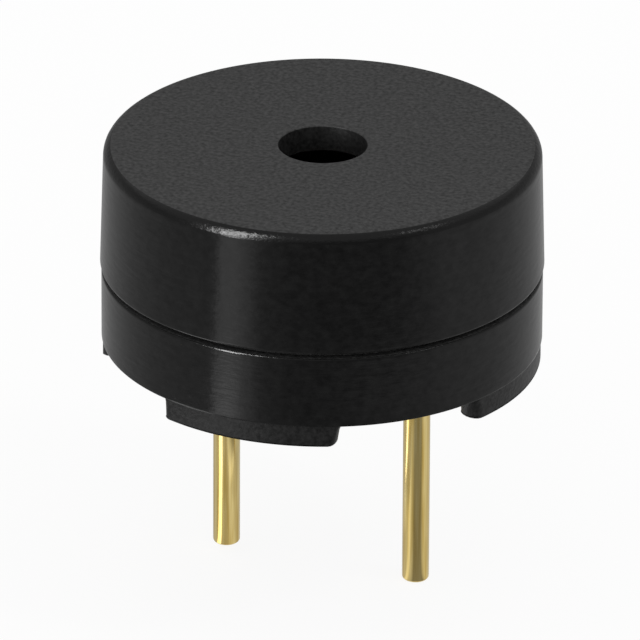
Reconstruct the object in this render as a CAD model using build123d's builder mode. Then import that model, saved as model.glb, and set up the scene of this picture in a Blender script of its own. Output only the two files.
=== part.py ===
"""Through-hole magnetic buzzer: a moulded two-part case round a coil, a magnet and a steel diaphragm.

Millimetres, +Z up. The origin is the middle of the seating plane, where the feet stand on the
circuit board. The two leads lie on the X axis, the positive one at +X.
"""

import os
from math import sqrt

from build123d import *

# Case, outside
cap_rim_radius = 4.90
cap_height = 2.80
cap_lean = 0.08
cap_edge_round = 0.25
sound_hole_radius = 0.98
sound_hole_chamfer = 0.03
base_step = 0.03
base_height = 1.75
parting_chamfer = 0.05
parting_gap = 0.12
parting_gap_depth = 0.22
foot_height = 0.50
foot_width = 0.57
foot_setback = 0.03
foot_count = 4
foot_angle = 47
foot_end_bulge_share = 0.33
foot_edge_chamfer = 0.06
foot_edge_taper = 45

# Case, inside
cap_wall = 0.60
cap_roof = 0.60
case_fit = 0.04
spigot_height = 0.85
spigot_wall = 0.50
chamber_step = 0.50
floor_thickness = 0.45
floor_ledge = 0.46
seal_sink = 0.08

# Diaphragm and the iron disc on it
diaphragm_thickness = 0.06
diaphragm_fit = 0.06
diaphragm_play = 0.04
armature_radius = 1.50
armature_thickness = 0.25

# Board, yoke, pole, winding and magnet
motor_fit = 0.04
board_thickness = 0.40
yoke_thickness = 0.45
pole_radius = 0.80
pole_rivet_radius = 0.50
pole_gap = 0.20
pole_edge_chamfer = 0.05
winding_fit = 0.03
winding_wall = 0.75
winding_drop = 0.22
magnet_width = 0.77
magnet_gap = 0.25

# Leads and what joins them to the winding
lead_inset = 0.19
lead_radius = 0.30
lead_tail_radius = 0.25
positive_lead_length = 5.17
negative_lead_length = 5.05
lead_tip_chamfer = 0.10
lead_stub = 0.22
lead_hole_fit = 0.03
joint_radius = 0.46
joint_skin = 0.05
joint_cover = 0.12
joint_room = 0.16
wire_radius = 0.05
wire_drop = 0.15

# Radii that follow from the case
cap_top_radius = cap_rim_radius - cap_lean
socket_radius = cap_rim_radius - cap_wall
chamber_radius = socket_radius - chamber_step
base_radius = cap_rim_radius - base_step
spigot_radius = socket_radius - case_fit
bore_radius = spigot_radius - spigot_wall
window_radius = bore_radius - floor_ledge
gap_radius = base_radius - parting_gap_depth
foot_outer_radius = base_radius - foot_setback
foot_inner_radius = foot_outer_radius - foot_width
foot_end_bulge = foot_end_bulge_share * foot_width
diaphragm_radius = socket_radius - diaphragm_fit
motor_radius = bore_radius - motor_fit
winding_radius = pole_radius + winding_fit + winding_wall

# The leads stand a little inside the middle of the room between the winding and the window's edge
lead_place = (winding_radius + window_radius) / 2 - lead_inset
lead_pitch = 2 * lead_place

# Levels, from the seating plane up
underside = foot_height
resin_face = underside + seal_sink
floor_top = underside + floor_thickness
board_top = floor_top + board_thickness
yoke_top = board_top + yoke_thickness
parting = underside + base_height
base_shoulder = parting - parting_gap
diaphragm_seat = parting + spigot_height
diaphragm_top = diaphragm_seat + diaphragm_thickness
cap_shoulder = diaphragm_top + diaphragm_play
cap_top = parting + cap_height
cap_ceiling = cap_top - cap_roof
pole_top = diaphragm_seat - pole_gap
winding_top = pole_top - winding_drop
magnet_top = diaphragm_seat - magnet_gap
lead_top = board_top + lead_stub
joint_top = lead_top + joint_cover
wire_level = winding_top - wire_drop


def ring(outer_radius, inner_radius, bottom, top):
    """Makes a plain ring about Z between two levels, or a disc where the inner radius is zero."""
    with BuildPart() as piece:
        with BuildSketch(Plane.XY.offset(bottom)):
            Circle(outer_radius)
            if inner_radius > 0:
                Circle(inner_radius, mode=Mode.SUBTRACT)
        extrude(amount=top - bottom)
    return piece


# Cap: a leaning wall, a roof with the sound hole, and a stepped inside that goes over the base
with BuildPart() as cap:
    with BuildSketch(Plane.XZ) as cap_section:
        with BuildLine():
            Polyline(
                (sound_hole_radius, cap_top),
                (cap_top_radius, cap_top),
                (cap_rim_radius, parting),
                (socket_radius, parting),
                (socket_radius, cap_shoulder),
                (chamber_radius, cap_shoulder),
                (chamber_radius, cap_ceiling),
                (sound_hole_radius, cap_ceiling),
                close=True,
            )
        make_face()
        fillet(cap_section.vertices().sort_by_distance((cap_top_radius, cap_top))[0], cap_edge_round)
        for corner, width in (
            ((cap_rim_radius, parting), parting_chamfer),
            ((sound_hole_radius, cap_top), sound_hole_chamfer),
        ):
            chamfer(cap_section.vertices().sort_by_distance(corner)[0], width)
    revolve(axis=Axis.Z)

# One foot in plan, with round ends, then the ring of feet
with BuildSketch() as foot:
    with BuildLine():
        outer = CenterArc((0, 0), foot_outer_radius, -foot_angle / 2, foot_angle)
        inner = CenterArc((0, 0), foot_inner_radius, -foot_angle / 2, foot_angle)
        SagittaArc(outer @ 0, inner @ 0, foot_end_bulge)
        SagittaArc(inner @ 1, outer @ 1, foot_end_bulge)
    make_face()
with BuildSketch(Plane.XY.offset(foot_edge_chamfer)) as feet:
    with PolarLocations(0, foot_count):
        add(foot.sketch)

# Base: a wall on feet, a gap under the cap's rim, a spigot for the diaphragm and a ledge for the board
with BuildPart() as base:
    with BuildSketch(Plane.XZ) as base_section:
        with BuildLine():
            Polyline(
                (window_radius, underside),
                (base_radius, underside),
                (base_radius, base_shoulder),
                (gap_radius, base_shoulder),
                (gap_radius, parting),
                (spigot_radius, parting),
                (spigot_radius, diaphragm_seat),
                (bore_radius, diaphragm_seat),
                (bore_radius, floor_top),
                (window_radius, floor_top),
                close=True,
            )
        make_face()
        chamfer(base_section.vertices().sort_by_distance((base_radius, base_shoulder))[0], parting_chamfer)
    revolve(axis=Axis.Z)
    extrude(feet.sketch, amount=foot_height - foot_edge_chamfer)
    extrude(feet.sketch, amount=-foot_edge_chamfer, taper=foot_edge_taper)

# Diaphragm on the spigot's rim, with the iron disc on its middle
diaphragm = ring(diaphragm_radius, 0, diaphragm_seat, diaphragm_top)
armature_disc = ring(armature_radius, 0, diaphragm_top, diaphragm_top + armature_thickness)

# Board on the ledge, with a hole for each lead
with BuildPart() as terminal_board:
    with BuildSketch(Plane.XY.offset(floor_top)):
        Circle(motor_radius)
        with GridLocations(lead_pitch, 0, 2, 1):
            Circle(lead_tail_radius + lead_hole_fit, mode=Mode.SUBTRACT)
    extrude(amount=board_thickness)

# Yoke plate on the board, open round the two solder joints
with BuildPart() as yoke_plate:
    with BuildSketch(Plane.XY.offset(board_top)):
        Circle(motor_radius)
        Circle(pole_rivet_radius, mode=Mode.SUBTRACT)
        with GridLocations(lead_pitch, 0, 2, 1):
            Circle(joint_radius + joint_room, mode=Mode.SUBTRACT)
    extrude(amount=yoke_thickness)

# Pole: a shank riveted into the yoke and a thicker head that the winding goes round
with BuildPart() as pole_core:
    with BuildSketch(Plane.XY.offset(board_top)):
        Circle(pole_rivet_radius)
    extrude(amount=yoke_thickness)
    with BuildSketch(Plane.XY.offset(yoke_top)):
        Circle(pole_radius)
    extrude(amount=pole_top - yoke_top)
    chamfer(pole_core.edges().group_by(Axis.Z)[-1], pole_edge_chamfer)

# Winding on the yoke, round the pole
coil_winding = ring(winding_radius, pole_radius + winding_fit, yoke_top, winding_top)

# Ring magnet on the rim of the yoke
ring_magnet = ring(motor_radius, motor_radius - magnet_width, yoke_top, magnet_top)


def make_pin(place, length):
    """Makes a lead at a place along X, with a chamfered tip and a thinner tail above the resin's face."""
    with BuildPart() as pin:
        with BuildSketch(Plane((place, 0, -length))):
            Circle(lead_radius)
        extrude(amount=length + resin_face)
        chamfer(pin.edges().group_by(Axis.Z)[0], lead_tip_chamfer)
        with BuildSketch(Plane((place, 0, resin_face))):
            Circle(lead_tail_radius)
        extrude(amount=lead_top - resin_face)
    return pin


def make_coil_lead(side):
    """Makes one end of the winding, which leaves it at a tangent and runs down onto the joint of a lead."""
    place = side * lead_place
    reach = winding_radius + wire_radius
    start_x = reach * reach / place
    start = Vector(start_x, -side * sqrt(reach * reach - start_x * start_x), wire_level)
    end = Vector(place, 0, joint_top)
    slope = (end - start).normalized()
    with BuildPart() as wire:
        with BuildSketch(Plane(start, z_dir=slope)):
            Circle(wire_radius)
        extrude(amount=(end - start).length + joint_radius)
        split(bisect_by=Plane.XY.offset(joint_top), keep=Keep.TOP)
    return wire


def make_solder_joint(side, pin):
    """Makes the cone of solder that covers the stub of a lead and carries the end of its wire."""
    place = side * lead_place
    height = joint_top - board_top
    top_radius = lead_tail_radius + joint_skin
    with BuildPart() as joint:
        with BuildSketch(Plane((place, 0, board_top), x_dir=(1, 0, 0), z_dir=(0, -1, 0))):
            with BuildLine():
                Polyline((0, 0), (joint_radius, 0), (top_radius, height), (0, height), close=True)
            make_face()
        revolve(axis=Axis((place, 0, 0), (0, 0, 1)))
        add(pin.part, mode=Mode.SUBTRACT)
    return joint


positive_pin = make_pin(lead_place, positive_lead_length)
negative_pin = make_pin(-lead_place, negative_lead_length)
positive_coil_lead = make_coil_lead(1)
negative_coil_lead = make_coil_lead(-1)
positive_solder_joint = make_solder_joint(1, positive_pin)
negative_solder_joint = make_solder_joint(-1, negative_pin)

# Resin in the opening of the underside, round the leads
with BuildPart() as epoxy_seal:
    with BuildSketch(Plane.XY.offset(resin_face)):
        Circle(window_radius)
    extrude(amount=floor_top - resin_face)
    add(positive_pin.part, mode=Mode.SUBTRACT)
    add(negative_pin.part, mode=Mode.SUBTRACT)

pieces = {
    "cap": cap,
    "base": base,
    "diaphragm": diaphragm,
    "armature_disc": armature_disc,
    "terminal_board": terminal_board,
    "yoke_plate": yoke_plate,
    "pole_core": pole_core,
    "coil_winding": coil_winding,
    "ring_magnet": ring_magnet,
    "positive_pin": positive_pin,
    "negative_pin": negative_pin,
    "positive_coil_lead": positive_coil_lead,
    "negative_coil_lead": negative_coil_lead,
    "positive_solder_joint": positive_solder_joint,
    "negative_solder_joint": negative_solder_joint,
    "epoxy_seal": epoxy_seal,
}
os.makedirs("parts", exist_ok=True)
for name, piece in pieces.items():
    piece.part.label = name
    export_step(piece.part, f"parts/{name}.step")
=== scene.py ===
"""Dresses a through-hole magnetic buzzer: fine meshes for what shows, a finish for each piece, a stage."""

from math import atan2, ceil, cos, hypot, pi, radians, sin, sqrt

import bmesh
import bpy
from bpy.props import FloatProperty, FloatVectorProperty, IntProperty, PointerProperty
from mathutils import Matrix, Quaternion, Vector


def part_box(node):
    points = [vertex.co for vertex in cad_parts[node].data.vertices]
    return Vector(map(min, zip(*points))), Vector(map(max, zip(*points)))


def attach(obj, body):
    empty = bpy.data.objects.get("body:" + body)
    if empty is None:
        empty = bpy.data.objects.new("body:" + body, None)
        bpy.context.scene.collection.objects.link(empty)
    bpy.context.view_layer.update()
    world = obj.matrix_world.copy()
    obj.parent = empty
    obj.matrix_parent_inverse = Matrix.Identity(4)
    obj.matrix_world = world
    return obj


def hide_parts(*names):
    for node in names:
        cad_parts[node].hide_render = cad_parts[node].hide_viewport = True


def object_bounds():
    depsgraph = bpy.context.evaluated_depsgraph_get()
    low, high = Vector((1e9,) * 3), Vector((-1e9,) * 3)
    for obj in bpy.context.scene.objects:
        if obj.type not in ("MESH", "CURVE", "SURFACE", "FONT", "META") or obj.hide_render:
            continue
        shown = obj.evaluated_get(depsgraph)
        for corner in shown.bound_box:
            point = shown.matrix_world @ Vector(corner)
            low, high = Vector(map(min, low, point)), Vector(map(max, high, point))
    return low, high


bl_info = {
    "name": "Magnetic Buzzer",
    "version": (1, 0, 0),
    "blender": (4, 5, 0),
    "location": "3D View > Sidebar > Buzzer",
    "description": "Models and finishes a through-hole magnetic buzzer on its fixed frame",
    "category": "Object",
}

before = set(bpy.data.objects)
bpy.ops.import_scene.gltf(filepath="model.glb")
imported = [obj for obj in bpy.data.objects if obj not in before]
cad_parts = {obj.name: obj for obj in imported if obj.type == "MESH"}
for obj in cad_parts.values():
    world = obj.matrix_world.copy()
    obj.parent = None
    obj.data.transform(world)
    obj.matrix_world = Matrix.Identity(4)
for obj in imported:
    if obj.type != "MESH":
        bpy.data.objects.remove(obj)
CAD_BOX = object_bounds()
BODY = "root"
LEAD_NODES = ("positive_pin", "negative_pin")
MM = 0.001

# Points closer than this count as being at the same place, and corners closer than the second are merged
SAME_PLACE = 0.002 * MM
WELD = 0.0002 * MM
# Rings of corners this far past a round keep the shading of the face beside it flat
HOLD = 0.03 * MM
# Faces that meet at more than this angle keep a crisp edge between them
CRISP_ANGLE = radians(40)
# How far a face of the case looks up or down, as the Z of its normal
LEVEL_FACE = 0.95
SLOPING_FACE = 0.2
# Room above the diaphragm, in which it moves
DIAPHRAGM_PLAY = 0.04 * MM

# Facets round the smaller turned shapes
LEAD_STEPS = 72
POOL_STEPS = 120
COLLAR_STEPS = 48
CARD_STEPS = 72
# Facets across the rounds
TOP_EDGE_SEGMENTS = 8
RIM_SEGMENTS = 4
FOOT_SEGMENTS = 3
TIP_SEGMENTS = 5
CREEP_SEGMENTS = 6
# Facets across a foot, along each of its ends, and up each round of an end
FOOT_ACROSS_STEPS = 8
FOOT_END_STEPS = 6
FOOT_ARC_STEPS = 3

# Where the cards on the floor begin and end, from the axis, and how high the outer one turns up at its edge
FOOT_CARD_START = 13 * MM
BASE_CARD_START = 18 * MM
CAP_CARD_START = 20.6 * MM
CAP_CARD_END = 60 * MM
CAP_CARD_RISE = 45 * MM
LEAD_CARD_END = 16 * MM
# How far the cards lie above the floor, and how far those of the leads lie below the others
CARD_LIFT = 0.02 * MM
LEAD_CARD_DROP = 0.01 * MM
CARD_STRENGTH = 5.0

# How bright each card is, against white, by the angle in degrees from the camera's side
BACK_LEFT_SHADES = ((-180, 0.30), (-145, 0.40), (-115, 0.55), (-70, 0.66))
BACK_RIGHT_SHADES = ((112, 0.59), (135, 0.48), (180, 0.30))
CAP_SHADES = (
    *BACK_LEFT_SHADES,
    *((-52, 0.72), (-50, 1.95), (-43, 2.10), (-36, 1.50), (-29, 0.64), (-15, 0.42)),
    *((0, 0.36), (32, 0.36), (48, 0.60), (60, 0.80), (68, 0.82), (85, 0.70)),
    *BACK_RIGHT_SHADES,
)
BASE_SHADES = (
    *BACK_LEFT_SHADES,
    *((-52, 0.74), (-50, 1.65), (-43, 2.30), (-35, 1.55), (-28, 0.62), (-15, 0.40)),
    *((0, 0.38), (16, 0.48), (24, 0.59), (40, 0.68), (60, 0.80), (85, 0.70)),
    *BACK_RIGHT_SHADES,
)
FOOT_SHADES = (
    *BACK_LEFT_SHADES,
    *((-52, 0.74), (-50, 2.50), (-43, 3.50), (-36, 1.60), (-26, 0.62), (-15, 0.44)),
    *((0, 0.42), (24, 0.56), (40, 0.64), (60, 0.78)),
    *BACK_RIGHT_SHADES,
)
LEAD_SHADES = {
    "positive_pin": (
        *((-180, 0.60), (-90, 0.80), (-74, 0.82), (-66, 1.30), (-53, 1.30), (-43, 0.85)),
        *((-26, 0.60), (-16, 0.32), (40, 0.34), (52, 0.75), (64, 0.95), (180, 0.60)),
    ),
    "negative_pin": (
        *((-180, 0.60), (-90, 0.72), (-69, 0.74), (-64, 3.00), (-41, 3.00), (-35, 0.80)),
        *((-20, 0.64), (5, 0.66), (28, 0.94), (58, 0.92), (70, 0.80), (180, 0.60)),
    ),
}

# Each lamp's width and height, and its place: a turn from the camera's side, an elevation and a reach
STRIP_SIZE = (9 * MM, 52 * MM)
STRIP_PLACE = (radians(-46), radians(24), 52 * MM)
FILL_SIZE = (60 * MM, 60 * MM)
FILL_PLACE = (radians(68), radians(50), 500 * MM)
WHITE = (1, 1, 1, 1)
FLOOR_REACH = 600 * MM
# Share of the floor's white that is its own. The rest is lit, so that the shadow stays
FLOOR_GLOW = 0.9
# How many times nearer and further than the part the camera still shows things
CLIP_SPAN = 100

cap_low, cap_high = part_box("cap")
base_low, base_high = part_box("base")
resin_low, resin_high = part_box("epoxy_seal")
diaphragm_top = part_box("diaphragm")[1].z


def linear(hex_colour):
    """Turns an sRGB hex colour into linear red, green, blue and alpha."""
    channels = [int(hex_colour[i : i + 2], 16) / 255 for i in (1, 3, 5)]
    return [c / 12.92 if c <= 0.04045 else ((c + 0.055) / 1.055) ** 2.4 for c in channels] + [1.0]


def length(name, description, default):
    """A length that a user may change, in metres."""
    return FloatProperty(name=name, description=description, default=default, unit="LENGTH", precision=5)


def angle(name, description, default):
    """An angle that a user may change, with its default in degrees."""
    return FloatProperty(name=name, description=description, default=radians(default), subtype="ANGLE")


def colour(name, description, hex_colour):
    """A colour that a user may change."""
    return FloatVectorProperty(
        name=name, description=description, default=linear(hex_colour), size=4, min=0, max=1, subtype="COLOR"
    )


class BuzzerSizes(bpy.types.PropertyGroup):
    """Sizes of the modelled pieces."""

    turn_steps: IntProperty(name="Turn steps", description="Facets round a case piece", default=240, min=48)
    cap_rim_radius: length("Cap rim radius", "Cap wall at the parting line", cap_high.x)
    cap_lean: length("Cap lean", "How much narrower the cap is at its top", 0.08 * MM)
    cap_edge_round: length("Cap edge round", "Round of the cap's top edge", 0.25 * MM)
    cap_roof: length("Cap roof", "Thickness of the cap's roof", 0.60 * MM)
    sound_hole_radius: length("Sound hole radius", "Hole in the middle of the roof", 0.98 * MM)
    sound_hole_round: length("Sound hole round", "Round of the hole's edges", 0.03 * MM)
    socket_radius: length("Socket radius", "Inside of the cap where it goes over the base", 4.30 * MM)
    chamber_radius: length("Chamber radius", "Inside of the cap above the diaphragm", 3.80 * MM)
    cap_shoulder: length("Cap shoulder", "Step above the diaphragm", diaphragm_top + DIAPHRAGM_PLAY)
    parting_round: length("Parting round", "Round of the two edges at the parting line", 0.05 * MM)
    parting_gap: length("Parting gap", "Height of the gap that shows under the cap's rim", 0.12 * MM)
    parting_gap_depth: length("Parting gap depth", "How far the gap goes in", 0.22 * MM)
    base_radius: length("Base radius", "Outer wall of the base", base_high.x)
    spigot_radius: length("Spigot radius", "Outside of the rim that goes into the cap", 4.26 * MM)
    bore_radius: length("Bore radius", "Inside of the base round the motor", 3.76 * MM)
    foot_height: length("Foot height", "From the circuit board to the underside", 0.50 * MM)
    foot_width: length("Foot width", "Across a foot", 0.57 * MM)
    foot_setback: length("Foot setback", "How far a foot stands behind the wall", 0.03 * MM)
    foot_count: IntProperty(name="Feet", description="Feet round the base", default=4, min=1)
    foot_angle: angle("Foot angle", "From tip to tip of one foot", 51.7)
    foot_end_bulge: length("Foot end bulge", "How far a foot's end bulges out", 0.19 * MM)
    foot_end_draft: length("Foot end draft", "How much shorter a foot's end is at its sole", 0.08 * MM)
    foot_toe_round: length("Foot toe round", "Round at the lower corner of a foot's end", 0.10 * MM)
    foot_root_round: length("Foot root round", "Hollow where a foot's end meets the underside", 0.15 * MM)
    foot_square_share: FloatProperty(
        name="Square end",
        description="Share of that draft and those two rounds on a foot's squarer end",
        default=0.25,
        subtype="FACTOR",
    )
    foot_sole_round: length("Foot sole round", "Round of the sole's edge", 0.05 * MM)
    lead_tip_round: length("Lead tip round", "Round at the tip of a lead", 0.09 * MM)
    lead_tail_step: length("Lead tail step", "How much thinner a lead is inside the resin", 0.05 * MM)
    resin_creep: length("Resin creep", "How far the resin crept along the window's wall and leads", 0.07 * MM)
    resin_creep_width: length("Resin creep width", "How wide that hollow rise is", 0.24 * MM)


class BuzzerColours(bpy.types.PropertyGroup):
    """Colours of the finishes."""

    plastic: colour("Plastic", "Black moulded polyester", "#0C0C0C")
    clean: colour("Clean wall", "The same polyester on a wall with no dust", "#010101")
    haze: colour("Hazy wall", "The same polyester on a wall under a haze of dust", "#121212")
    # Pit and Grain are a pale copy of the polyester for the top: partly painted sheen of the sky on it, with
    # painted shade in the pits
    pit: colour("Pit", "The same polyester in the pits of its matt grain", "#222222")
    grain: colour("Grain", "The same polyester on the peaks of its matt grain", "#3F3F3F")
    # Fine Grain, paler than the walls' colours, is partly painted light: reflection of the floor on the feet,
    # lifted shade inside the case and in the sound hole
    fine_grain: colour("Fine grain", "The same polyester on the peaks where its grain shows less", "#242424")
    brass: colour("Brass", "Drawn brass of the leads", "#D6C286")
    tarnish: colour("Tarnish", "The same brass where it has dulled", "#BDA25A")
    resin: colour("Resin", "Black potting resin", "#0B0B0C")
    steel: colour("Spring steel", "Rolled steel of the diaphragm", "#B9B8B4")
    iron: colour("Iron", "Nickel-plated soft iron", "#A9A6A0")
    ferrite: colour("Ferrite", "Sintered ferrite of the magnet", "#3A3A3C")
    copper: colour("Copper", "Enamelled copper wire", "#B4582C")
    laminate: colour("Laminate", "Pressed paper laminate of the board", "#A8824A")
    solder: colour("Solder", "Cooled tin solder", "#C2C3C4")
    floor: colour("Floor", "Pale studio floor", "#F4F4F4")


class BuzzerStage(bpy.types.PropertyGroup):
    """Camera and lamps."""

    azimuth: angle("Azimuth", "Camera round the part", 20.5)
    elevation: angle("Elevation", "Camera above the horizon", 24.95)
    roll: angle("Roll", "Camera about its own line of sight", 0.29)
    distance: length("Distance", "From the middle of the parting line to the camera", 273.1 * MM)
    lens: FloatProperty(name="Lens", description="Focal length in millimetres", default=696.9)
    aim_height: length("Aim height", "Level of the picture's middle", cap_low.z - 1.465 * MM)
    aim_left: length("Aim left", "How far the picture's middle lies left of the axis", 0.043 * MM)
    sky: FloatProperty(name="Sky", description="Light of the white surround on the part", default=0.9)
    strip: FloatProperty(name="Strip", description="Strip lamp on the left, against white", default=50.0)
    fill: FloatProperty(name="Fill", description="Fill lamp on the right, against white", default=20.0)


def add_node(tree, kind, inputs=None, **settings):
    """Adds a node with its settings, and fills or links its inputs."""
    node = tree.nodes.new(kind)
    for name, value in settings.items():
        setattr(node, name, value)
    for name, value in (inputs or {}).items():
        if isinstance(value, bpy.types.NodeSocket):
            tree.links.new(value, node.inputs[name])
        else:
            node.inputs[name].default_value = value
    return node


def new_material(name):
    """An empty node material, and its tree."""
    material = bpy.data.materials.new(name)
    material.use_nodes = True
    material.node_tree.nodes.clear()
    return material, material.node_tree


def grained_plastic(name, pit, peak, roughness, specular):
    """Black polyester moulded against a spark-eroded face: a matt grain with paler peaks, and painted shade
    that darkens its pits.
    """
    # Such a grain is about 0.03 mm wide, and is drawn three times as coarse so that it shows
    grain_width, relief = 0.09 * MM, 0.004 * MM
    material, tree = new_material(name)
    place = add_node(tree, "ShaderNodeTexCoord").outputs["Object"]
    pits = add_node(
        tree,
        "ShaderNodeTexNoise",
        {"Vector": place, "Scale": 1 / grain_width, "Detail": 3.0, "Roughness": 0.5},
    )
    height = add_node(
        tree, "ShaderNodeMapRange", {"Value": pits.outputs["Fac"], "From Min": 0.3, "From Max": 0.7}
    ).outputs["Result"]
    bump = add_node(tree, "ShaderNodeBump", {"Height": height, "Strength": 1.0, "Distance": relief})
    tint = add_node(tree, "ShaderNodeMix", {"Factor": height, "A": pit, "B": peak}, data_type="RGBA")
    shader = add_node(
        tree,
        "ShaderNodeBsdfPrincipled",
        {
            "Base Color": tint.outputs["Result"],
            "Roughness": roughness,
            "Specular IOR Level": specular,
            "Normal": bump.outputs["Normal"],
        },
    )
    add_node(tree, "ShaderNodeOutputMaterial", {"Surface": shader.outputs["BSDF"]})
    return material


def top_plastic(colours):
    """The cap's top, with the whitest grain, which dulls the sky in it to an even grey. Its pale colour is
    partly painted sheen of the sky's light on the top.
    """
    return grained_plastic(
        "grained_black_polyester_painted_light", colours.pit, colours.grain, roughness=0.54, specular=0.13
    )


def foot_plastic(colours):
    """The feet and the inside, where the grain shows less: darker than the top, with a soft sheen. Their
    colour, paler than the walls', is partly painted light: painted reflection of the floor on the feet,
    lifted shade inside.
    """
    return grained_plastic(
        "fine_black_polyester_painted_light", colours.plastic, colours.fine_grain, roughness=0.36, specular=0.15
    )


def hole_plastic(colours):
    """The wall of the sound hole, moulded round a pin: as dark as the feet, but duller. Its colour, paler
    than the walls', is painted light that lifts the shade in the hole.
    """
    return grained_plastic(
        "pierced_black_polyester_painted_light", colours.plastic, colours.fine_grain, roughness=0.5, specular=0.13
    )


def turned_lines(tree, pitch, reach):
    """Faint lines that run round the case, of a pitch and a usual length, as a height from 0 to 1."""
    place = add_node(tree, "ShaderNodeTexCoord").outputs["Object"]
    drawn_out = add_node(
        tree, "ShaderNodeMapping", {"Vector": place, "Scale": (1 / reach, 1 / reach, 1 / pitch)}
    ).outputs["Vector"]
    lines = add_node(
        tree, "ShaderNodeTexNoise", {"Vector": drawn_out, "Scale": 1.0, "Detail": 3.0, "Roughness": 0.6}
    )
    height = add_node(
        tree, "ShaderNodeMapRange", {"Value": lines.outputs["Fac"], "From Min": 0.3, "From Max": 0.7}
    )
    return height.outputs["Result"]


def burnished_plastic(colours):
    """Edges of the case, rubbed glossy by handling: short scuffs break a lamp's light up into sparkles."""
    # Real scuffs are about 0.01 mm wide, and are drawn five times as wide so that they show
    scuff_width, scuff_length, scuff_depth = 0.05 * MM, 0.12 * MM, 0.004 * MM
    material, tree = new_material("burnished_black_polyester")
    scuffs = turned_lines(tree, scuff_width, scuff_length)
    bump = add_node(tree, "ShaderNodeBump", {"Height": scuffs, "Strength": 1.0, "Distance": scuff_depth})
    shader = add_node(
        tree,
        "ShaderNodeBsdfPrincipled",
        {
            "Base Color": colours.plastic,
            "Roughness": 0.2,
            "Specular IOR Level": 0.14,
            "Normal": bump.outputs["Normal"],
        },
    )
    add_node(tree, "ShaderNodeOutputMaterial", {"Surface": shader.outputs["BSDF"]})
    return material


def turned_plastic(colours):
    """The same polyester moulded against a turned wall: smooth enough to shine, under a thin haze of dust."""
    # Tool marks lie some hundredths of a millimetre apart and dust is finer. Both are drawn coarser, to show
    line_pitch, line_length, line_depth = 0.1 * MM, 0.7 * MM, 0.0025 * MM
    haze_width, haze_length, haze_depth = 0.16 * MM, 0.22 * MM, 0.0012 * MM
    material, tree = new_material("turned_black_polyester")
    lines = turned_lines(tree, line_pitch, line_length)
    haze = turned_lines(tree, haze_width, haze_length)
    tint = add_node(
        tree, "ShaderNodeMix", {"Factor": haze, "A": colours.clean, "B": colours.haze}, data_type="RGBA"
    )
    uneven = add_node(tree, "ShaderNodeBump", {"Height": haze, "Strength": 1.0, "Distance": haze_depth})
    bump = add_node(
        tree,
        "ShaderNodeBump",
        {"Height": lines, "Strength": 1.0, "Distance": line_depth, "Normal": uneven.outputs["Normal"]},
    )
    shader = add_node(
        tree,
        "ShaderNodeBsdfPrincipled",
        {
            "Base Color": tint.outputs["Result"],
            "Roughness": 0.13,
            "Specular IOR Level": 0.2,
            "Normal": bump.outputs["Normal"],
        },
    )
    add_node(tree, "ShaderNodeOutputMaterial", {"Surface": shader.outputs["BSDF"]})
    return material


def drawn_brass(colours):
    """Brass wire drawn through a die: bright, with streaks of tarnish and fine lines along the lead."""
    # Die lines lie about 0.01 mm apart, and are drawn ten times as far apart so that they show
    streak_width, streak_length, streak_depth = 0.1 * MM, 2.5 * MM, 0.004 * MM
    material, tree = new_material("drawn_brass")
    place = add_node(tree, "ShaderNodeTexCoord").outputs["Object"]
    drawn_out = add_node(
        tree,
        "ShaderNodeMapping",
        {"Vector": place, "Scale": (1 / streak_width, 1 / streak_width, 1 / streak_length)},
    ).outputs["Vector"]
    streaks = add_node(
        tree, "ShaderNodeTexNoise", {"Vector": drawn_out, "Scale": 1.0, "Detail": 3.0, "Roughness": 0.55}
    ).outputs["Fac"]
    dull = add_node(tree, "ShaderNodeMapRange", {"Value": streaks, "From Min": 0.35, "From Max": 0.65})
    tint = add_node(
        tree,
        "ShaderNodeMix",
        {"Factor": dull.outputs["Result"], "A": colours.brass, "B": colours.tarnish},
        data_type="RGBA",
    )
    bump = add_node(tree, "ShaderNodeBump", {"Height": streaks, "Strength": 0.3, "Distance": streak_depth})
    shader = add_node(
        tree,
        "ShaderNodeBsdfPrincipled",
        {
            "Base Color": tint.outputs["Result"],
            "Metallic": 1.0,
            "Roughness": 0.16,
            "Normal": bump.outputs["Normal"],
        },
    )
    add_node(tree, "ShaderNodeOutputMaterial", {"Surface": shader.outputs["BSDF"]})
    return material


def plain_finish(name, base_colour, metallic, roughness, grain, relief):
    """A finish for a piece that hardly shows: its colour, and a gloss that varies a little with its grain."""
    variation = 0.15 * roughness
    material, tree = new_material(name)
    place = add_node(tree, "ShaderNodeTexCoord").outputs["Object"]
    height = add_node(
        tree, "ShaderNodeTexNoise", {"Vector": place, "Scale": 1 / grain, "Detail": 3.0}
    ).outputs["Fac"]
    bump = add_node(tree, "ShaderNodeBump", {"Height": height, "Strength": 0.5, "Distance": relief})
    gloss = add_node(
        tree,
        "ShaderNodeMapRange",
        {"Value": height, "To Min": roughness - variation, "To Max": roughness + variation},
    )
    shader = add_node(
        tree,
        "ShaderNodeBsdfPrincipled",
        {
            "Base Color": base_colour,
            "Metallic": metallic,
            "Roughness": gloss.outputs["Result"],
            "Normal": bump.outputs["Normal"],
        },
    )
    add_node(tree, "ShaderNodeOutputMaterial", {"Surface": shader.outputs["BSDF"]})
    return material


def turned(outline, steps, closed=True):
    """Spins an outline of (radius, level) corners about the Z axis."""
    bm = bmesh.new()
    corners = [bm.verts.new((radius, 0, level)) for radius, level in outline]
    ends = corners[1:] + corners[:1] if closed else corners[1:]
    sides = [bm.edges.new(pair) for pair in zip(corners, ends)]
    bmesh.ops.spin(
        bm, geom=corners + sides, cent=(0, 0, 0), axis=(0, 0, 1), angle=2 * pi, steps=steps, use_merge=True
    )
    bmesh.ops.remove_doubles(bm, verts=bm.verts, dist=WELD)
    bmesh.ops.recalc_face_normals(bm, faces=bm.faces)
    return bm


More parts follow.
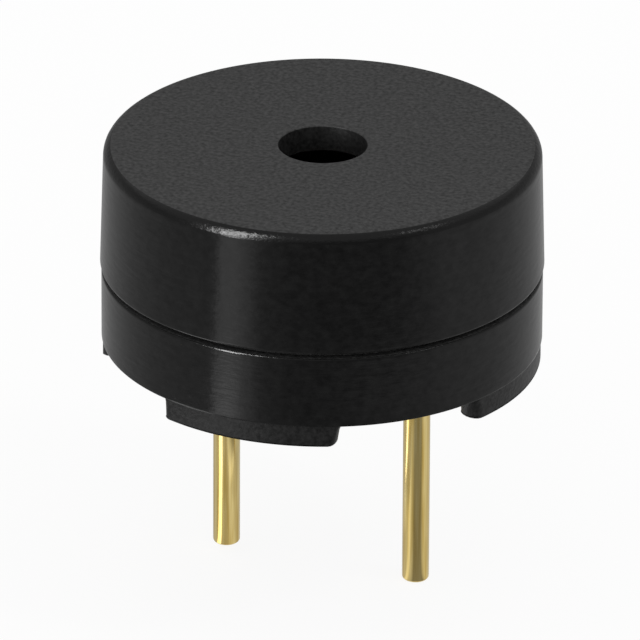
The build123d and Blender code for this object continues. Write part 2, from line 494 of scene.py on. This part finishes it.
def round_edges(bm, edges, size, segments):
    """Rounds some edges with an even round."""
    if not edges:
        raise RuntimeError("there are no edges to round")
    bmesh.ops.bevel(
        bm,
        geom=edges,
        offset=size,
        offset_type="OFFSET",
        segments=segments,
        profile=0.5,
        affect="EDGES",
        material=-1,
    )


def round_ring(bm, radius, level, size, segments):
    """Rounds the ring of edges at a radius and a level of a turned shape."""
    ring = {
        v
        for v in bm.verts
        if abs(hypot(v.co.x, v.co.y) - radius) < SAME_PLACE and abs(v.co.z - level) < SAME_PLACE
    }
    round_edges(bm, [e for e in bm.edges if ring.issuperset(e.verts)], size, segments)


def arc_drop(radius, along):
    """How far an arc falls away from the straight line that it leaves, at a length along that line."""
    return radius * (1 - sqrt(max(0, 1 - (along / radius) ** 2)))


def add_piece(bm, name, materials, slot, *nodes):
    """Makes a finished piece of a bmesh: smooth shading, its materials, and the frame nodes it stands for."""
    bmesh.ops.recalc_face_normals(bm, faces=bm.faces)
    mesh = bpy.data.meshes.new(name)
    bm.to_mesh(mesh)
    bm.free()
    mesh.shade_smooth()
    mesh.set_sharp_from_angle(angle=CRISP_ANGLE)
    for material in materials:
        mesh.materials.append(material)
    piece = bpy.data.objects.new(name, mesh)
    bpy.context.scene.collection.objects.link(piece)
    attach(piece, BODY)
    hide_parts(*nodes)


def finish_nodes(material, *nodes):
    """Gives frame nodes that stay as they are their finish."""
    for name in nodes:
        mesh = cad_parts[name].data
        mesh.materials.clear()
        mesh.materials.append(material)


class BUZZER_OT_add_cap(bpy.types.Operator):
    """Adds the moulded cap with its rounded top edge and its sound hole"""

    bl_idname = "buzzer.add_cap"
    bl_label = "Cap"

    def execute(self, context):
        sizes, colours = context.scene.buzzer_sizes, context.scene.buzzer_colours
        parting, top = cap_low.z, cap_high.z
        top_radius = sizes.cap_rim_radius - sizes.cap_lean
        ceiling = top - sizes.cap_roof

        def wall(level):
            """A corner on the leaning wall, at a level."""
            return sizes.cap_rim_radius - sizes.cap_lean * (level - parting) / (top - parting), level

        bm = turned(
            [
                (sizes.sound_hole_radius, top),
                (sizes.sound_hole_radius + sizes.sound_hole_round + HOLD, top),
                (top_radius - sizes.cap_edge_round - HOLD, top),
                (top_radius, top),
                wall(top - sizes.cap_edge_round - HOLD),
                wall(parting + sizes.parting_round + HOLD),
                (sizes.cap_rim_radius, parting),
                (sizes.socket_radius, parting),
                (sizes.socket_radius, sizes.cap_shoulder),
                (sizes.chamber_radius, sizes.cap_shoulder),
                (sizes.chamber_radius, ceiling),
                (sizes.sound_hole_radius, ceiling),
            ],
            sizes.turn_steps,
        )
        round_ring(bm, top_radius, top, sizes.cap_edge_round, TOP_EDGE_SEGMENTS)
        round_ring(bm, sizes.cap_rim_radius, parting, sizes.parting_round, RIM_SEGMENTS)
        for level in (top, ceiling):
            round_ring(bm, sizes.sound_hole_radius, level, sizes.sound_hole_round, RIM_SEGMENTS)
        finishes = {
            "wall": turned_plastic(colours),
            "top": top_plastic(colours),
            "rubbed edge": burnished_plastic(colours),
            "inside": foot_plastic(colours),
            "hole": hole_plastic(colours),
        }
        for face in bm.faces:
            reach = hypot(*face.calc_center_median().xy)
            inside = reach < sizes.chamber_radius + SAME_PLACE
            if face.normal.z > LEVEL_FACE or (inside and face.normal.z > SLOPING_FACE):
                finish = "top"
            elif inside:
                finish = "hole" if reach < sizes.sound_hole_radius + SAME_PLACE else "inside"
            else:
                finish = "rubbed edge" if abs(face.normal.z) > SLOPING_FACE else "wall"
            face.material_index = list(finishes).index(finish)
        add_piece(bm, "moulded_cap", finishes.values(), "case_plastic", "cap")
        return {"FINISHED"}


class BUZZER_OT_add_base(bpy.types.Operator):
    """Adds the moulded base with its ring of round-ended feet"""

    bl_idname = "buzzer.add_base"
    bl_label = "Base"

    def execute(self, context):
        sizes, colours = context.scene.buzzer_sizes, context.scene.buzzer_colours
        parting, rim, floor_top, window = cap_low.z, base_high.z, resin_high.z, resin_high.x
        underside = base_low.z + sizes.foot_height
        half_width = sizes.foot_width / 2
        foot_middle = sizes.base_radius - sizes.foot_setback - half_width
        shoulder, gap_radius = parting - sizes.parting_gap, sizes.base_radius - sizes.parting_gap_depth
        lower_round = sizes.foot_setback / 2
        # Divisions across a foot are closer at its sides, where its round ends turn most
        turns = [pi * i / FOOT_ACROSS_STEPS for i in range(FOOT_ACROSS_STEPS + 1)]
        bm = turned(
            [
                (window, underside),
                *((foot_middle - half_width * cos(turn), underside) for turn in turns),
                (sizes.base_radius, underside),
                (sizes.base_radius, underside + lower_round + HOLD),
                (sizes.base_radius, shoulder - sizes.parting_round - HOLD),
                (sizes.base_radius, shoulder),
                (gap_radius, shoulder),
                (gap_radius, parting),
                (sizes.spigot_radius, parting),
                (sizes.spigot_radius, rim),
                (sizes.bore_radius, rim),
                (sizes.bore_radius, floor_top),
                (window, floor_top),
            ],
            sizes.turn_steps,
        )
        self.extrude_feet(bm, sizes, underside, foot_middle)
        round_ring(bm, sizes.base_radius, shoulder, sizes.parting_round, RIM_SEGMENTS)
        round_ring(bm, sizes.base_radius, underside, lower_round, FOOT_SEGMENTS)
        # The gap has the lighter finish of the top: painted light that lifts the deep shade under the cap's
        # rim
        finishes = {
            "wall": turned_plastic(colours),
            "feet and inside": foot_plastic(colours),
            "gap": top_plastic(colours),
            "rubbed edge": burnished_plastic(colours),
        }
        for face in bm.faces:
            place = face.calc_center_median()
            reach = hypot(*place.xy)
            if place.z > shoulder - SAME_PLACE and reach > gap_radius - SAME_PLACE:
                finish = "gap"
            elif place.z < underside + SAME_PLACE or reach < gap_radius + SAME_PLACE:
                finish = "feet and inside"
            elif place.z > shoulder - sizes.parting_round and face.normal.z > SLOPING_FACE:
                finish = "rubbed edge"
            else:
                finish = "wall"
            face.material_index = list(finishes).index(finish)
        add_piece(bm, "moulded_base", finishes.values(), "case_plastic", "base")
        return {"FINISHED"}

    def extrude_feet(self, bm, sizes, underside, foot_middle):
        """Draws the feet down out of the underside, then rounds their ends and their soles."""
        root, toe, height = sizes.foot_root_round, sizes.foot_toe_round, sizes.foot_height
        half_width = sizes.foot_width / 2
        pitch = 2 * pi / sizes.foot_count
        step = 2 * pi / sizes.turn_steps
        tip = sizes.foot_angle / 2
        # The facets between these two angles from a foot's middle are moved to shape its end
        end = ceil((tip + root / foot_middle) / step) * step
        start = end - FOOT_END_STEPS * step

        def off_middle(point):
            """The angle of a point from the middle of the foot that it is nearest to."""
            turn = atan2(point.y, point.x)
            return turn - round(turn / pitch) * pitch

        def in_foot(face):
            """Tells whether a face of the underside lies where a foot comes out of it."""
            place = face.calc_center_median()
            on_underside = abs(place.z - underside) < SAME_PLACE and face.normal.z < 0
            across = hypot(*place.xy) - foot_middle
            return on_underside and abs(across) < half_width and abs(off_middle(place)) < end

        soles = [f for f in bm.faces if in_foot(f)]
        foot_verts = {v for f in soles for v in f.verts}
        # Each drawing ends at a level of the root's hollow or the toe's round, from the root down to the sole
        arc = [sin(pi / 2 * i / FOOT_ARC_STEPS) for i in range(FOOT_ARC_STEPS + 1)]
        levels = [height - root * (1 - rise) for rise in arc[-2::-1]] + [toe * (1 - rise) for rise in arc]
        for level in levels:
            made = bmesh.ops.extrude_face_region(bm, geom=soles)["geom"]
            bmesh.ops.delete(bm, geom=soles, context="FACES")
            new_verts = [g for g in made if isinstance(g, bmesh.types.BMVert)]
            soles = [g for g in made if isinstance(g, bmesh.types.BMFace)]
            for v in new_verts:
                v.co.z = underside - height + level
            foot_verts.update(new_verts)
        for v in foot_verts:
            if not v.is_valid or abs(off_middle(v.co)) <= start:
                continue
            off, radius = off_middle(v.co), hypot(v.co.x, v.co.y)
            across = max(-1.0, min(1.0, (radius - foot_middle) / half_width))
            # One end of each foot stands up squarer than the other
            share = sizes.foot_square_share if off < 0 else 1
            lean = share * self.end_lean(sizes, v.co.z - underside + height)
            reach = tip - (sizes.foot_end_bulge * arc_drop(1, across) + lean) / radius
            moved = start + (abs(off) - start) * (reach - start) / (end - start)
            turn = (moved - abs(off)) * (1 if off > 0 else -1)
            v.co = Matrix.Rotation(turn, 3, "Z") @ v.co
        sole_faces = set(soles)
        outlines = [e for e in bm.edges if len(sole_faces.intersection(e.link_faces)) == 1]
        bmesh.ops.dissolve_faces(bm, faces=soles)
        round_edges(bm, [e for e in outlines if e.is_valid], sizes.foot_sole_round, FOOT_SEGMENTS)

    def end_lean(self, sizes, level):
        """How far a foot's end lies back, at a level above its sole, by its draft and its two rounds."""
        root, toe, height = sizes.foot_root_round, sizes.foot_toe_round, sizes.foot_height
        lean = sizes.foot_end_draft * (1 - level / height)
        if level < toe:
            lean += arc_drop(toe, toe - level)
        if level > height - root:
            lean -= arc_drop(root, level - height + root)
        return lean


class BUZZER_OT_add_leads(bpy.types.Operator):
    """Adds the two drawn brass leads with rounded tips"""

    bl_idname = "buzzer.add_leads"
    bl_label = "Leads"

    def execute(self, context):
        sizes, colours = context.scene.buzzer_sizes, context.scene.buzzer_colours
        brass = drawn_brass(colours)
        shoulder = resin_low.z
        for node in LEAD_NODES:
            low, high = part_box(node)
            radius, tip, top = (high.x - low.x) / 2, low.z, high.z
            tail = radius - sizes.lead_tail_step
            outline = [(0, tip), (radius, tip), (radius, shoulder), (tail, shoulder), (tail, top), (0, top)]
            bm = turned(outline, LEAD_STEPS, closed=False)
            round_ring(bm, radius, tip, sizes.lead_tip_round, TIP_SEGMENTS)
            bmesh.ops.translate(bm, verts=bm.verts, vec=((low.x + high.x) / 2, 0, 0))
            add_piece(bm, node.replace("pin", "lead"), [brass], "lead_brass", node)
        return {"FINISHED"}


class BUZZER_OT_add_resin(bpy.types.Operator):
    """Adds the resin of the underside, which crept along the wall and the leads before it set"""

    bl_idname = "buzzer.add_resin"
    bl_label = "Resin"

    def execute(self, context):
        sizes, colours = context.scene.buzzer_sizes, context.scene.buzzer_colours
        face, top, window = resin_low.z, resin_high.z, resin_high.x
        creep, creep_width = sizes.resin_creep, sizes.resin_creep_width
        shares = [i / CREEP_SEGMENTS for i in range(CREEP_SEGMENTS + 1)]
        rise = [(creep_width * (1 - share), face - creep * share**2) for share in shares]
        outline = [(0, face), *((window - gap, level) for gap, level in rise), (window, top), (0, top)]
        pool = turned(outline, POOL_STEPS, closed=False)
        collar_mesh = bpy.data.meshes.new("resin collar")
        for node in LEAD_NODES:
            low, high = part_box(node)
            radius = (high.x - low.x) / 2
            root = face + creep
            hollow = [(radius + gap, level) for gap, level in rise]
            collar = turned([*hollow, (radius, root), (radius + creep_width, root)], COLLAR_STEPS)
            bmesh.ops.translate(collar, verts=collar.verts, vec=((low.x + high.x) / 2, 0, 0))
            collar.to_mesh(collar_mesh)
            collar.free()
            pool.from_mesh(collar_mesh)
        bpy.data.meshes.remove(collar_mesh)
        # Poured and set resin: wet-looking black, with slow swells that bend what it reflects
        resin = plain_finish(
            "potting_resin", colours.resin, metallic=0.0, roughness=0.16, grain=0.9 * MM, relief=0.02 * MM
        )
        add_piece(pool, "poured_resin", [resin], "epoxy", "epoxy_seal")
        return {"FINISHED"}


class BUZZER_OT_finish_motor(bpy.types.Operator):
    """Gives the sealed pieces of the motor their finishes"""

    bl_idname = "buzzer.finish_motor"
    bl_label = "Motor"

    def execute(self, context):
        colours = context.scene.buzzer_colours
        metal, not_metal = 1.0, 0.0

        # Spring steel between rolls: a bright satin disc, its fine grain drawn coarser so that it shows
        steel = plain_finish(
            "rolled_spring_steel", colours.steel, metal, roughness=0.32, grain=0.05 * MM, relief=0.001 * MM
        )
        finish_nodes(steel, "diaphragm")

        # Soft iron under nickel: a warm grey, a little clouded, its grain drawn coarser so that it shows
        iron = plain_finish(
            "nickel_plated_iron", colours.iron, metal, roughness=0.38, grain=0.08 * MM, relief=0.002 * MM
        )
        finish_nodes(iron, "armature_disc", "yoke_plate", "pole_core")

        # Pressed and fired ferrite: charcoal and quite dull, its grit drawn coarser so that it shows
        ferrite = plain_finish(
            "sintered_ferrite", colours.ferrite, not_metal, roughness=0.70, grain=0.05 * MM, relief=0.006 * MM
        )
        finish_nodes(ferrite, "ring_magnet")

        # Drawn copper under clear enamel: red-brown and glossy, uneven by the width of a wire
        copper = plain_finish(
            "enamelled_copper", colours.copper, metal, roughness=0.28, grain=0.06 * MM, relief=0.003 * MM
        )
        finish_nodes(copper, "coil_winding", "positive_coil_lead", "negative_coil_lead")

        # Paper pressed in resin: tan, with a soft fibrous face, its fibres drawn coarser so that they show
        board = plain_finish(
            "pressed_laminate",
            colours.laminate,
            not_metal,
            roughness=0.55,
            grain=0.12 * MM,
            relief=0.004 * MM,
        )
        finish_nodes(board, "terminal_board")

        # Solder left to cool: bright, with a frosted ripple
        solder = plain_finish(
            "cooled_solder", colours.solder, metal, roughness=0.30, grain=0.15 * MM, relief=0.006 * MM
        )
        finish_nodes(solder, "positive_solder_joint", "negative_solder_joint")
        return {"FINISHED"}


class BUZZER_OT_add_stage(bpy.types.Operator):
    """Adds the pale floor, the white surround, the lamps and the camera"""

    bl_idname = "buzzer.add_stage"
    bl_label = "Stage"

    def execute(self, context):
        stage, colours = context.scene.buzzer_stage, context.scene.buzzer_colours
        context.scene.view_settings.view_transform = "Standard"
        self.add_floor(context, colours)
        self.add_surround(context, stage)
        self.add_camera(context, stage)
        self.add_cards(context, stage)
        # The tall strip only shows in the cap's edge on the left, the fill lamp lights the right
        strip = self.add_lamp(context, stage, "strip lamp", stage.strip, STRIP_SIZE, STRIP_PLACE)
        strip.visible_diffuse = False
        self.add_lamp(context, stage, "fill lamp", stage.fill, FILL_SIZE, FILL_PLACE)
        return {"FINISHED"}

    def add_sight(self, tree):
        """Adds nodes that give 1 to rays from the camera, a reflection or glass, and 0 to scattered light."""
        path = add_node(tree, "ShaderNodeLightPath").outputs
        seen = add_node(
            tree, "ShaderNodeMath", {0: path["Is Camera Ray"], 1: path["Is Glossy Ray"]}, operation="ADD"
        )
        shown = add_node(
            tree,
            "ShaderNodeMath",
            {0: seen.outputs["Value"], 1: path["Is Transmission Ray"]},
            operation="ADD",
            use_clamp=True,
        )
        return shown.outputs["Value"]

    def add_floor(self, context, colours):
        """Lays a plain pale floor at the tip of the longer lead: white to the eye, with a soft shadow."""
        material, tree = new_material("pale_floor")
        material.cycles.emission_sampling = "NONE"
        sight = self.add_sight(tree)
        glow = add_node(tree, "ShaderNodeMath", {0: sight, 1: FLOOR_GLOW}, operation="MULTIPLY")
        lit = add_node(tree, "ShaderNodeBsdfDiffuse", {"Color": colours.floor})
        white = add_node(tree, "ShaderNodeEmission", {"Color": WHITE, "Strength": 1.0})
        mixed = add_node(
            tree,
            "ShaderNodeMixShader",
            {0: glow.outputs["Value"], 1: lit.outputs["BSDF"], 2: white.outputs["Emission"]},
        )
        add_node(tree, "ShaderNodeOutputMaterial", {"Surface": mixed.outputs["Shader"]})
        bm = bmesh.new()
        bmesh.ops.create_grid(bm, x_segments=1, y_segments=1, size=FLOOR_REACH)
        bmesh.ops.translate(bm, verts=bm.verts, vec=(0, 0, CAD_BOX[0].z))
        floor = self.add_prop(context, "floor", bm, material)

    def add_surround(self, context, stage):
        """Hangs a surround that looks white, also in reflections, and lights the part a little less."""
        world = bpy.data.worlds.new("white surround")
        world.use_nodes = True
        world.node_tree.nodes.clear()
        tree = world.node_tree
        strength = add_node(
            tree, "ShaderNodeMapRange", {"Value": self.add_sight(tree), "To Min": stage.sky, "To Max": 1.0}
        ).outputs["Result"]
        sky = add_node(tree, "ShaderNodeBackground", {"Color": WHITE, "Strength": strength})
        add_node(tree, "ShaderNodeOutputWorld", {"Surface": sky.outputs["Background"]})
        context.scene.world = world

    def direction(self, turn, height):
        """The direction at a turn about the part and a height above the horizon, both angles."""
        return Vector((sin(turn) * cos(height), -cos(turn) * cos(height), sin(height)))

    def add_camera(self, context, stage):
        """Stands the camera where the photograph was taken from."""
        right = Vector((cos(stage.azimuth), sin(stage.azimuth), 0))
        aim = Vector((0, 0, stage.aim_height)) - right * stage.aim_left
        camera = bpy.data.objects.new("camera", bpy.data.cameras.new("camera"))
        camera.data.lens = stage.lens
        camera.data.clip_start, camera.data.clip_end = stage.distance / CLIP_SPAN, stage.distance * CLIP_SPAN
        back = self.direction(stage.azimuth, stage.elevation)
        camera.location = Vector((0, 0, cap_low.z)) + back * stage.distance
        camera.rotation_mode = "QUATERNION"
        sight = (aim - camera.location).to_track_quat("-Z", "Y")
        camera.rotation_quaternion = sight @ Quaternion((0, 0, 1), stage.roll)
        context.scene.collection.objects.link(camera)
        context.scene.camera = camera

    def add_prop(self, context, name, bm, material):
        """Makes an object of the stage from a bmesh."""
        mesh = bpy.data.meshes.new(name)
        bm.to_mesh(mesh)
        bm.free()
        mesh.materials.append(material)
        prop = bpy.data.objects.new(name, mesh)
        context.scene.collection.objects.link(prop)
        return prop

    def add_cards(self, context, stage):
        """Lays cards for the cap, the base, the feet and each lead, that only reflections show."""
        level = CAD_BOX[0].z + CARD_LIFT
        cap_card = [(CAP_CARD_START, 0), (CAP_CARD_END, 0), (CAP_CARD_END, CAP_CARD_RISE)]
        for name, shades, outline in (
            ("cap card", CAP_SHADES, cap_card),
            ("base card", BASE_SHADES, [(BASE_CARD_START, 0), (CAP_CARD_START, 0)]),
            ("foot card", FOOT_SHADES, [(FOOT_CARD_START, 0), (BASE_CARD_START, 0)]),
        ):
            card = turned(outline, CARD_STEPS, closed=False)
            self.add_card(context, stage, name, card, Vector((0, 0, level)), shades)
        for node in LEAD_NODES:
            low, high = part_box(node)
            foot = Vector(((low.x + high.x) / 2, 0, level - LEAD_CARD_DROP))
            card = turned([(high.x - foot.x, 0), (LEAD_CARD_END, 0)], CARD_STEPS, closed=False)
            # Each lead's card ends halfway to the other lead
            parts = card.verts[:] + card.edges[:] + card.faces[:]
            halfway = Vector((-foot.x, 0, 0))
            bmesh.ops.bisect_plane(card, geom=parts, plane_co=halfway, plane_no=halfway, clear_outer=True)
            self.add_card(context, stage, f"{node} card", card, foot, LEAD_SHADES[node])

    def add_card(self, context, stage, name, bm, place, shades):
        """Makes a card whose brightness goes by the angle about its middle."""
        # The card is turned back by its object, so that its own angles start at the camera's side
        turn_to_camera = stage.azimuth - pi / 2
        bmesh.ops.rotate(bm, verts=bm.verts, matrix=Matrix.Rotation(-turn_to_camera, 3, "Z"))
        material, tree = new_material(name)
        material.cycles.emission_sampling = "NONE"
        flat = add_node(tree, "ShaderNodeTexCoord").outputs["Object"]
        turn = add_node(tree, "ShaderNodeTexGradient", {"Vector": flat}, gradient_type="RADIAL")
        shade = add_node(tree, "ShaderNodeValToRGB", {"Fac": turn.outputs["Fac"]})
        stops = shade.color_ramp.elements
        while len(stops) < len(shades):
            stops.new(0.5)
        for stop, (degrees, brightness) in zip(stops, shades):
            stop.position = 0.5 + degrees / 360
            stop.color = [brightness / CARD_STRENGTH] * 3 + [1]
        light = add_node(
            tree, "ShaderNodeEmission", {"Color": shade.outputs["Color"], "Strength": CARD_STRENGTH}
        )
        add_node(tree, "ShaderNodeOutputMaterial", {"Surface": light.outputs["Emission"]})
        card = self.add_prop(context, name, bm, material)
        card.location = place
        card.rotation_euler.z = turn_to_camera
        card.visible_camera = card.visible_diffuse = False
        card.visible_shadow = card.visible_transmission = False

    def add_lamp(self, context, stage, name, brightness, size, place):
        """Hangs a lamp that faces the part, at a turn from the camera's side, a height and a reach."""
        turn, height, reach = place
        away = self.direction(stage.azimuth + turn, height)
        lamp = bpy.data.lights.new(name, "AREA")
        lamp.shape = "RECTANGLE"
        lamp.size, lamp.size_y = size
        lamp.energy = brightness * pi * lamp.size * lamp.size_y
        holder = bpy.data.objects.new(name, lamp)
        holder.location = Vector((0, 0, cap_high.z)) + away * reach
        holder.rotation_euler = away.to_track_quat("Z", "Y").to_euler()
        holder.visible_camera = False
        context.scene.collection.objects.link(holder)
        return holder


class BUZZER_PT_pieces(bpy.types.Panel):
    """Lists the pieces, in the order in which they are made"""

    bl_label = "Magnetic Buzzer"
    bl_space_type = "VIEW_3D"
    bl_region_type = "UI"
    bl_category = "Buzzer"

    def draw(self, context):
        for operator in OPERATORS:
            self.layout.operator(operator.bl_idname)
        for group in (context.scene.buzzer_sizes, context.scene.buzzer_colours, context.scene.buzzer_stage):
            box = self.layout.box()
            for name in group.__annotations__:
                box.prop(group, name)


GROUPS = {"buzzer_sizes": BuzzerSizes, "buzzer_colours": BuzzerColours, "buzzer_stage": BuzzerStage}
OPERATORS = (
    BUZZER_OT_add_cap,
    BUZZER_OT_add_base,
    BUZZER_OT_add_leads,
    BUZZER_OT_add_resin,
    BUZZER_OT_finish_motor,
    BUZZER_OT_add_stage,
)


def register():
    for cls in (*GROUPS.values(), *OPERATORS, BUZZER_PT_pieces):
        bpy.utils.register_class(cls)
    for name, group in GROUPS.items():
        setattr(bpy.types.Scene, name, PointerProperty(type=group))


def unregister():
    for name in GROUPS:
        delattr(bpy.types.Scene, name)
    for cls in (BUZZER_PT_pieces, *reversed(OPERATORS), *reversed(GROUPS.values())):
        bpy.utils.unregister_class(cls)


def main():
    register()
    bpy.ops.buzzer.add_cap()
    bpy.ops.buzzer.add_base()
    bpy.ops.buzzer.add_leads()
    bpy.ops.buzzer.add_resin()
    bpy.ops.buzzer.finish_motor()
    bpy.ops.buzzer.add_stage()


if __name__ == "__main__":
    main()
